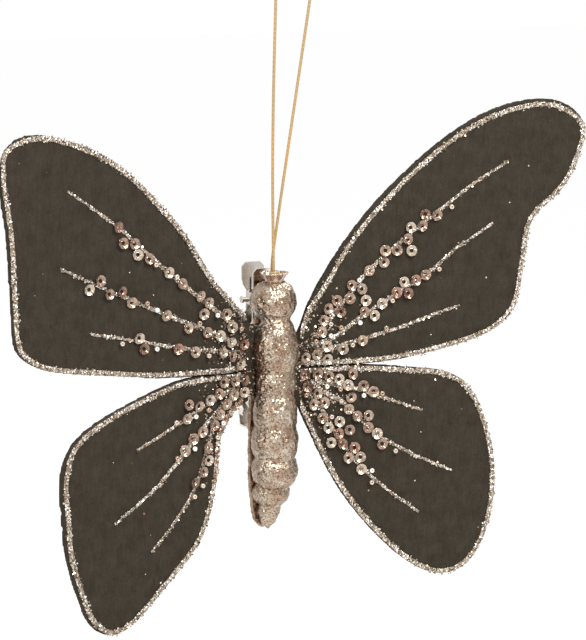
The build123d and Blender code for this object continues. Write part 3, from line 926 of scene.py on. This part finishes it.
def makeGlitterLine(name, kind, bedFinish, flakeFinish, seed):
    # a lumpy line of glue in the solid's place, and the flakes that stick in it
    g = glitterLines
    front = wingFront(name)
    node = f"{name}_{kind}"
    shape = mergedCopy(node)
    wayAt = outwardWay(name) if kind == "edge_piping" else None
    move = lineMover(name, wayAt) if wayAt else None
    if move:
        cutAtRoot(shape, name)
    bed = remeshed(shape, f"{node}_bed", g["voxel"], bedFinish, g["softening"])

    def thinAt(place):
        # the upper left wing's line is thin on its outer and lower sides
        if not wayAt or name != "upper_left":
            return 0
        way = wayAt(place)
        return min(1, share(-way.x, *g["thin"]) + share(-way.z, *g["thin"]))

    def draw(place, normal):
        lump = noise.noise(place / (g["lumpLength"] * mm))
        if abs(normal.dot(front)) > g["topFacing"]:
            return (g["topLump"] * lump - g["topDraw"]) * mm
        return (g["lump"] * lump - g["draw"][kind] - g["thinDraw"] * thinAt(place)) * mm

    pushOut(bed, draw)
    if move:
        for corner in bed.data.vertices:
            corner.co += move(corner.co)
    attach(bed, f"{name}_wing")
    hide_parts(node)

    def covered(place):
        if kind == "veins":
            return True
        sparse = noise.noise(place / (g["sparseLength"] * mm)) < g["sparseLevel"]
        bare = sparse and thinAt(place) > g["sparseThin"]
        return abs(place.x) > g["rootEnd"] * mm and not bare

    density = flakes["perSquareMm"][kind]
    scatterFlakes(name, kind, f"{kind}_flakes", density, flakeFinish, seed, covered, move)


# root tabs

rootTab = {
    "hinge": (7.525, 2.091),  # mm out from the middle plane and back from the origin
    "reach": (5.6, 10.2),  # mm from the middle plane, where a tab starts and ends
    "halfWing": 0.9,  # mm
    "rise": 0.28,  # mm that a tab stands in front of the wing
    "fadeStart": 0.6,  # share of the reach after which the tab sinks into the wing
    "inset": 1.4,  # mm that a tab stays inside the root's edge
    "overlap": 0.3,  # mm that a tab goes past its wing's end at the join
    "rows": 15,
    "steps": 12,
    "rounding": (0.7, 2.2),  # rows, over which the far end is rounded
    "bend": (0.6, 1.0),  # mm before and after the hinge that bend
    "voxel": 0.4,  # mm
    "softening": 3,
    "flakes": 75,
    "flakeLift": (0.05, 0.3),  # mm
}


def tabSheets(shape, name, pivot, along, levels):
    # the tab's front and back as two grids of corners
    t = rootTab
    front = wingFront(name)
    start, stop = t["reach"]
    offset, rows = t["rounding"]
    sheets = []
    for facing in (1, -1):
        sheet = []
        for k in range(t["steps"] + 1):
            part = k / t["steps"]
            reach = (start + (stop - start) * part - t["hinge"][0]) * mm
            sunk = (part - t["fadeStart"]) / (1 - t["fadeStart"])
            fade = 1 if sunk < 0 else math.cos(sunk * math.pi / 2)
            thick = t["halfWing"] + velvetSkin["fullness"] + t["rise"] * (2 * fade - 1)
            row = []
            for number, level in enumerate(levels):
                rounding = min(1, (len(levels) - 1 - number + offset) / rows)
                place = pivot + along * reach + front * facing * thick * mm * rounding
                row.append(shape.verts.new(Vector((place.x, place.y, level))))
            sheet.append(row)
        sheets.append(sheet)
    return sheets


def tabShape(name, pivot, along, levels):
    shape = bmesh.new()
    near, far = tabSheets(shape, name, pivot, along, levels)
    for sheet in (near, far):
        for one, other in zip(sheet, sheet[1:]):
            for k in range(len(levels) - 1):
                shape.faces.new((one[k], one[k + 1], other[k + 1], other[k]))
    for k in range(len(levels) - 1):
        for end in (0, -1):
            shape.faces.new((near[end][k], near[end][k + 1], far[end][k + 1], far[end][k]))
    for k in range(len(near) - 1):
        for end in (0, -1):
            shape.faces.new((near[k][end], near[k + 1][end], far[k + 1][end], far[k][end]))
    bmesh.ops.recalc_face_normals(shape, faces=shape.faces)
    return shape


def makeRootTab(name, material, dustMaterial, seed):
    # the soft velvet that runs from the thorax over the wing's root
    t = rootTab
    low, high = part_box(f"{name}_velvet_front")
    front = wingFront(name)
    along = upright.cross(front) * sideOf(name)
    pivot = Vector((sideOf(name) * t["hinge"][0], t["hinge"][1], 0)) * mm
    upper = name.startswith("upper")
    away = 1 if upper else -1
    joinEnd = (low.z if upper else high.z) - t["overlap"] * mm * away
    length = rootTop(name) - t["inset"] * mm * away - joinEnd
    levels = [joinEnd + length * k / (t["rows"] - 1) for k in range(t["rows"])]
    shape = tabShape(name, pivot, along, levels)
    tab = remeshed(shape, f"{name}_root_tab", t["voxel"], material, t["softening"])

    tab.data.materials.append(dustMaterial)
    dice = random.Random(seed)
    dusted = bmesh.new()
    dusted.from_mesh(tab.data)
    faces = [f for f in dusted.faces if f.normal.dot(front) > flakes["facing"]]
    for face in dice.sample(faces, t["flakes"]):
        out = face.normal * dice.uniform(*t["flakeLift"]) * mm
        addFlake(dusted, dice, face.calc_center_median() + out, front).material_index = 1
    dusted.to_mesh(tab.data)
    dusted.free()
    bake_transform(tab)


# sequins and beads

sequinShape = {
    "sides": 14,
    "rim": 1.8,  # mm, outer radius
    "hole": 0.66,
    "holeRise": 0.06,
    "floor": 1.25,  # times as wide as the hole
    "waist": (0.58, 0.3),  # shares of the rim and of the depth
    "depth": 0.62,
    "pleat": 0.07,
    "pleatFrom": 1,  # mm, the radius past which a cup is pleated
    "thickness": 0.09,
    "seat": 0.42,  # mm that a cup's bottom lies under its middle
    "size": (0.93, 1.0),
    "lean": 13,  # degrees, the most that one leans further than its seat
    "seeds": {"left": 317, "right": 348},
}


def framesOf(nodeName, front):
    # each small piece's middle and the way that it faces
    found = []
    for group in islandsOf(nodeName):
        cloud = np.array(group)
        middle = cloud.mean(axis=0)
        _, _, axes = np.linalg.svd(cloud - middle)
        axis = Vector(axes[2])
        if axis.dot(front) < 0:
            axis = -axis
        found.append((Vector(middle), axis))
    return found


def sequinRings():
    # radius and height of each ring of the closed profile, inside and then outside
    s = sequinShape
    out, up = s["waist"]
    floor, waist, rim = s["hole"] * s["floor"], s["rim"] * out, s["rim"]
    depth, under = s["depth"], s["thickness"]
    inside = [(s["hole"], s["holeRise"]), (floor, 0.0), (waist, depth * up), (rim, depth)]
    return inside + [(rim, depth - under), (waist, depth * up - under), (floor, -under)]


def latheInto(shape, rings, sides, middle, axis, twist, pleat, size):
    # turns a closed profile about a tilted axis, with every other ring half a step on
    one = axis.orthogonal().normalized()
    other = axis.cross(one)
    loops = []
    for number, (radius, height) in enumerate(rings):
        loop = []
        for k in range(sides):
            turn = twist + (k + 0.5 * (number % 2)) * 2 * math.pi / sides
            pleated = radius > sequinShape["pleatFrom"]
            wobble = pleat * (1 if k % 2 else -1) if pleated else 0
            out = (one * math.cos(turn) + other * math.sin(turn)) * radius * size * mm
            loop.append(shape.verts.new(middle + out + axis * (height + wobble) * size * mm))
        loops.append(loop)
    for number, here in enumerate(loops):
        there = loops[(number + 1) % len(loops)]
        odd = number % 2 == 1
        unshifted = number == len(loops) - 1 and not odd
        for k in range(sides):
            after = (k + 1) % sides
            if unshifted:
                shape.faces.new((here[k], here[after], there[after], there[k]))
            elif odd:
                shape.faces.new((here[k], there[after], there[k]))
                shape.faces.new((here[k], here[after], there[after]))
            else:
                shape.faces.new((here[k], here[after], there[k]))
                shape.faces.new((here[after], there[after], there[k]))


def makeSequins(name, material):
    s = sequinShape
    shape = bmesh.new()
    dice = random.Random(s["seeds"][name.split("_")[1]])
    for middle, axis in framesOf(f"{name}_sequins", wingFront(name)):
        seat = middle - axis * s["seat"] * mm
        sideways = axis.orthogonal().normalized()
        sideways.rotate(Matrix.Rotation(dice.uniform(0, 2 * math.pi), 3, axis))
        lean = math.tan(math.radians(dice.uniform(0, s["lean"])))
        axis = (axis + sideways * lean).normalized()
        size = dice.uniform(*s["size"])
        twist = dice.uniform(0, 3)
        latheInto(shape, sequinRings(), s["sides"], seat, axis, twist, s["pleat"], size)
    bmesh.ops.recalc_face_normals(shape, faces=shape.faces)
    thing = objectFrom(shape, f"{name}_cup_sequins", material)
    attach(thing, f"{name}_wing")
    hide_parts(f"{name}_sequins")


beadShape = {
    "sides": 10,
    "size": 0.95,
    # the radii, and below them the heights, of the closed profile's rings in mm
    "rings": list(
        zip(
            (0.22, 0.5, 0.78, 0.86, 0.78, 0.5, 0.22, 0.2),
            (0.42, 0.62, 0.4, 0.0, -0.4, -0.62, -0.42, 0.0),
        )
    ),
    "seeds": {"left": 173, "right": 190},
}


def makeBeads(name, material):
    b = beadShape
    front = wingFront(name)
    shape = bmesh.new()
    dice = random.Random(b["seeds"][name.split("_")[1]])
    for middle, _ in framesOf(f"{name}_beads", front):
        twist = dice.uniform(0, 3)
        latheInto(shape, b["rings"], b["sides"], middle, front, twist, 0.0, b["size"])
    bmesh.ops.recalc_face_normals(shape, faces=shape.faces)
    thing = objectFrom(shape, f"{name}_seed_beads", material, True)
    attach(thing, f"{name}_wing")
    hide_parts(f"{name}_beads")


# body

bodySkin = {
    "voxel": 0.36,  # mm
    "softening": 4,
    "dent": 0.22,  # mm deep
    "dentLength": 3.2,
    "dentStart": (2, 9, 4),  # where the noise of the dents is read from
    "crumple": 0.27,
    "crumpleLength": 1.3,
    "grain": 0.09,
    "grainLength": 0.5,
    "grainStart": (7, 3, 5),
    "tailTop": 66,  # mm below the origin
    "tailLength": 14,
    "tailShift": 1.3,  # mm that the tail's tip leans left
}


def crumple(place, _):
    b = bodySkin
    wide = noise.noise(place / (b["dentLength"] * mm) + Vector(b["dentStart"]))
    coarse = noise.noise(place / (b["crumpleLength"] * mm))
    fine = noise.noise(place / (b["grainLength"] * mm) + Vector(b["grainStart"]))
    return (b["crumple"] * coarse + b["grain"] * fine + b["dent"] * wide) * mm


def makeBody(front, back):
    b = bodySkin
    for node, name, material in (
        ("body_shell", "foil_body", front),
        # the back plate takes the darker foil, whose tone is painted shade
        ("back_plate", "foil_back", back),
    ):
        skin = remeshed(mergedCopy(node), name, b["voxel"], material, b["softening"])
        pushOut(skin, crumple)
        for vertex in skin.data.vertices:
            below = share(-vertex.co.z / mm, b["tailTop"], b["tailLength"])
            vertex.co.x -= b["tailShift"] * below**2 * mm
        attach(skin, "body")
        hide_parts(node)


# crown

crownShape = {
    "sides": 96,
    "rows": 10,
    "foot": -4.5,  # mm, the level of its lower end
    "height": 4.3,
    "tube": 2.95,  # mm, radius
    "flare": 1.3,  # mm that the rim is wider than the tube
    "flareFrom": 0.42,  # share of the height
    "flareCurve": 1.4,
    "ruffle": 0.36,
    "ruffles": 11,
    "unevenness": 1.3,
    "ragged": 0.42,  # mm that the rim's edge goes up and down
    "raggedScale": 2.6,
    "raggedDrop": 0.35,
    "sheet": 0.3,  # mm thick
}


def makeCrown(material):
    c = crownShape
    shape = bmesh.new()
    rows = []
    for row in range(c["rows"] + 1):
        part = row / c["rows"]
        level = c["foot"] + c["height"] * part
        flare = max(0.0, (part - c["flareFrom"]) / (1 - c["flareFrom"]))
        loop = []
        for k in range(c["sides"]):
            turn = 2 * math.pi * k / c["sides"]
            out = Vector((math.cos(turn), math.sin(turn), 0))
            wave = math.sin(c["ruffles"] * turn + c["unevenness"] * math.sin(2 * turn))
            radius = c["tube"] + c["flare"] * flare ** c["flareCurve"]
            radius += c["ruffle"] * wave * flare
            drop = noise.noise(out * c["raggedScale"]) - c["raggedDrop"]
            edge = upright * (level + c["ragged"] * flare**2 * drop)
            loop.append(shape.verts.new((out * radius + edge) * mm))
        rows.append(loop)
    for low, high in zip(rows, rows[1:]):
        for k in range(c["sides"]):
            after = (k + 1) % c["sides"]
            shape.faces.new((low[k], low[after], high[after], high[k]))
    thing = objectFrom(shape, "crimped_crown", material, True)
    wall = thing.modifiers.new("wall", "SOLIDIFY")
    wall.thickness = c["sheet"] * mm
    wall.offset = -1
    runModifiers(thing)
    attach(thing, "body")
    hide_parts("crown")


# thread

threadRoute = [  # mm, as the taut loop runs
    (-0.6, -0.55, 0.1),
    (-0.6, -0.55, 2.0),
    (-0.7, -0.55, 7.0),
    (-1.2, -0.54, 28.0),
    (-1.2, -0.52, 55.0),
    (-0.6, -0.5, 85.0),
    (-0.6, -0.5, 90.8),
    (3.7, -0.2, 95.1),
    (9.3, 0.2, 94.8),
    (12.7, 0.5, 90.2),
    (11.85, 0.5, 84.4),
    (-0.15, 0.55, 7.0),
    (-0.6, 0.55, 2.0),
    (-0.6, 0.55, 0.1),
]
threadSize = {"diameter": 0.9, "length": 197.8}  # mm


def makeThread(material):
    curve = bpy.data.curves.new("hanging_loop", "CURVE")
    curve.dimensions = "3D"
    spline = curve.splines.new("NURBS")
    spline.points.add(len(threadRoute) - 1)
    for point, place in zip(spline.points, threadRoute):
        point.co = (*(part * mm for part in place), 1)
    spline.order_u = 3
    spline.use_endpoint_u = True
    spline.resolution_u = 16
    curve.bevel_depth = threadSize["diameter"] * mm / 2
    curve.bevel_resolution = 4
    curve.use_fill_caps = True
    curve.materials.append(material)
    loop = bpy.data.objects.new("hanging_loop", curve)
    bpy.context.scene.collection.objects.link(loop)
    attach(loop, "body")
    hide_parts("hanging_thread")


# floor and world

room = {
    "floorBelow": 0.05,  # m under the ornament
    "floorSize": 6.0,
    "daylight": 0.75,
    "floorSockets": {"Base Color": (0.86, 0.86, 0.86, 1), "Roughness": 0.9},
    "floorGlow": 1.04,
    "glowShare": 0.86,  # how much of the floor the camera sees as glow
}


def makeWorld():
    # white for the camera and mirrors, dimmer as light
    world = bpy.data.worlds.new("whiteRoom")
    bpy.context.scene.world = world
    world.use_nodes = True
    tree = world.node_tree
    background = tree.nodes["Background"]
    background.inputs["Color"].default_value = (1, 1, 1, 1)
    rays = tree.nodes.new("ShaderNodeLightPath").outputs
    white = rays["Is Camera Ray"]
    for kind in ("Is Glossy Ray", "Is Transmission Ray"):
        either = addNode(tree, "ShaderNodeMath", operation="MAXIMUM")
        tree.links.new(white, either.inputs[0])
        tree.links.new(rays[kind], either.inputs[1])
        white = either.outputs[0]
    light = addNode(tree, "ShaderNodeMapRange")
    light.inputs["To Min"].default_value = room["daylight"]
    light.inputs["To Max"].default_value = 1.0
    tree.links.new(white, light.inputs["Value"])
    tree.links.new(light.outputs["Result"], background.inputs["Strength"])


def makeFloor():
    half = room["floorSize"] / 2
    level = cadLow.z - room["floorBelow"]
    ends = ((-half, -half), (half, -half), (half, half), (-half, half))
    mesh = bpy.data.meshes.new("floor")
    mesh.from_pydata([(x, y, level) for x, y in ends], [], [(0, 1, 2, 3)])
    material, tree, shader = newMaterial("whiteFloor", room["floorSockets"])
    glow = addNode(tree, "ShaderNodeEmission", Strength=room["floorGlow"])
    rays = tree.nodes.new("ShaderNodeLightPath")
    seen = addNode(tree, "ShaderNodeMath", operation="MULTIPLY")
    seen.inputs[1].default_value = room["glowShare"]
    tree.links.new(rays.outputs["Is Camera Ray"], seen.inputs[0])
    mix = tree.nodes.new("ShaderNodeMixShader")
    tree.links.new(seen.outputs[0], mix.inputs[0])
    tree.links.new(shader.outputs[0], mix.inputs[1])
    tree.links.new(glow.outputs[0], mix.inputs[2])
    tree.links.new(mix.outputs[0], tree.nodes["Material Output"].inputs["Surface"])
    floor = newObject("floor", mesh, material)


target = makeCamera()
makeLamps(target)
makeWorld()
makeFloor()
bpy.context.scene.view_settings.view_transform = "Standard"
print("camera, lamps and room made")

velvet = velvetMaterial()
foil = foilMaterial("crackledFoil", "rose", "champagne", "silver")
# a darker copy of the foil for the back plate: painted shade and painted reflection of the dark
# wings on the body's flank
paintedShadeFoil = foilMaterial("paintedShadeBronzeFoil", "bronze", "rose", "champagne")
glitterBed = glitterBedMaterial()
glitterFlake = pieceMaterial("glitterFlake")
dustFlake = pieceMaterial("dustFlake")
copperFlake = pieceMaterial("copperFlake")
sequinFilm = pieceMaterial("cupSequin")
beadGlass = pieceMaterial("seedBead")
nickel = metalMaterial("nickelPlate")
softWire = metalMaterial("softWire")
crownMetal = metalMaterial("crownMetal")
thread = threadMaterial()
glue = mottledMaterial("setGlue")
card = mottledMaterial("stiffCard")
print("finishes made")

for name in ("clip_base", "clip_jaw", "clip_pin", "clip_spring"):
    putOn(nickel, name)
putOn(softWire, "root_wires")
putOn(glue, "glue_pad")
putOn(thread, "thread_knot")

for number, name in enumerate(wingNames):
    putOn(softWire, f"{name}_edge_wire")
    putOn(card, f"{name}_core_card")
    makeVelvetSkin(name, velvet)
    makeRootTab(name, velvet, dustFlake, seeds["tab"] + number)
    for kind in ("edge_piping", "veins"):
        makeGlitterLine(name, kind, glitterBed, glitterFlake, seeds[kind] + number)
    makeRootDust(name, dustFlake, seeds["dust"] + number)
    makeStrayFlakes(name, dustFlake, seeds["stray"] + number)
    makeSequins(name, sequinFilm)
    makeBeads(name, beadGlass)
    print("wing made:", name)

makeCopperDust("lower_left", copperFlake, seeds["copper"])
makeBody(foil, paintedShadeFoil)
makeCrown(crownMetal)
makeThread(thread)
print("body, crown and thread made")
